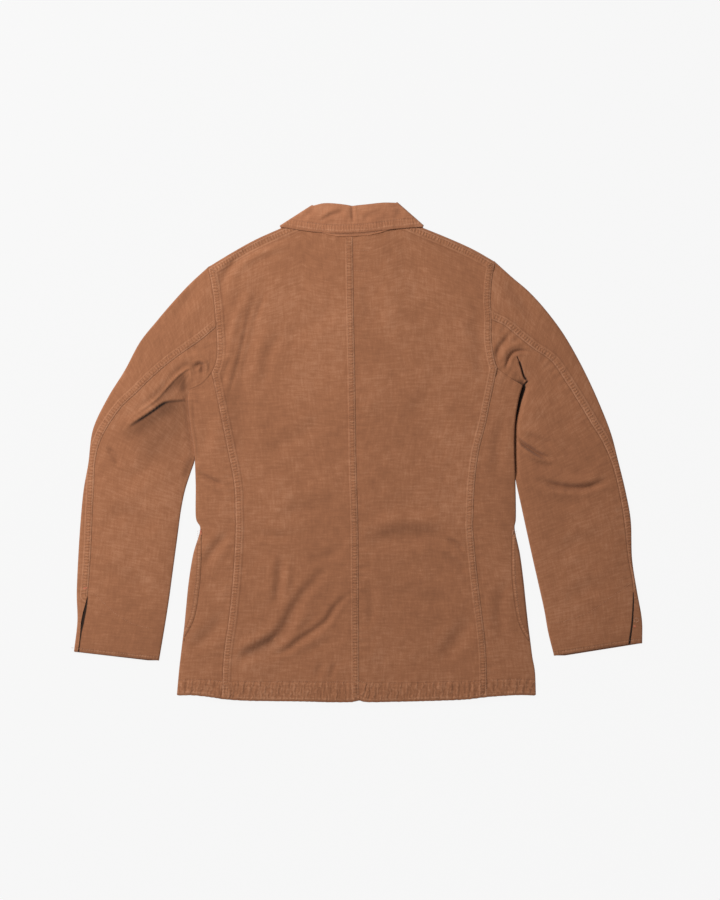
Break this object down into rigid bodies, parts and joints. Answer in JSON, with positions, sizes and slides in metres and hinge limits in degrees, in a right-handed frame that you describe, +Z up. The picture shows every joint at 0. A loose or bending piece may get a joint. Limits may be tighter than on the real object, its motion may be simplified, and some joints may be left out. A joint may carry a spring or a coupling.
{
  "type": "chore jacket",
  "caption": "Long-sleeved chore jacket of brown cotton canvas, laid flat on its front: fold-over collar, felled back seams, patch pockets that wrap round the sides, open cuff vents.",
  "frame": {"origin": "on the surface the jacket lies on, at the middle of its bounding box", "axes": "+X to the right of the laid jacket seen from above with its back up (the wearer's left is at -X), +Y from hem to collar, +Z up, out of the back"},
  "size_m": [0.8636, 0.7579, 0.0103],
  "materials": {
    "canvas": "washed tobacco-brown cotton canvas, matt, lighter along the seams",
    "horn": "mottled brown horn-like resin, semi-matt",
    "thread": "matching cotton thread"
  },
  "bodies": {
    "root": {"back_left": "canvas", "back_right": "canvas", "front_left": "canvas", "front_right": "canvas", "pocket_left": "canvas", "pocket_right": "canvas", "top_sleeve_left": "canvas", "top_sleeve_right": "canvas", "under_sleeve_left": "canvas", "under_sleeve_right": "canvas", "collar": "canvas", "collar_stand": "canvas", "button_1": "horn", "button_2": "horn", "button_3": "horn", "button_4": "horn", "button_5": "horn"}
  },
  "joints": []
}
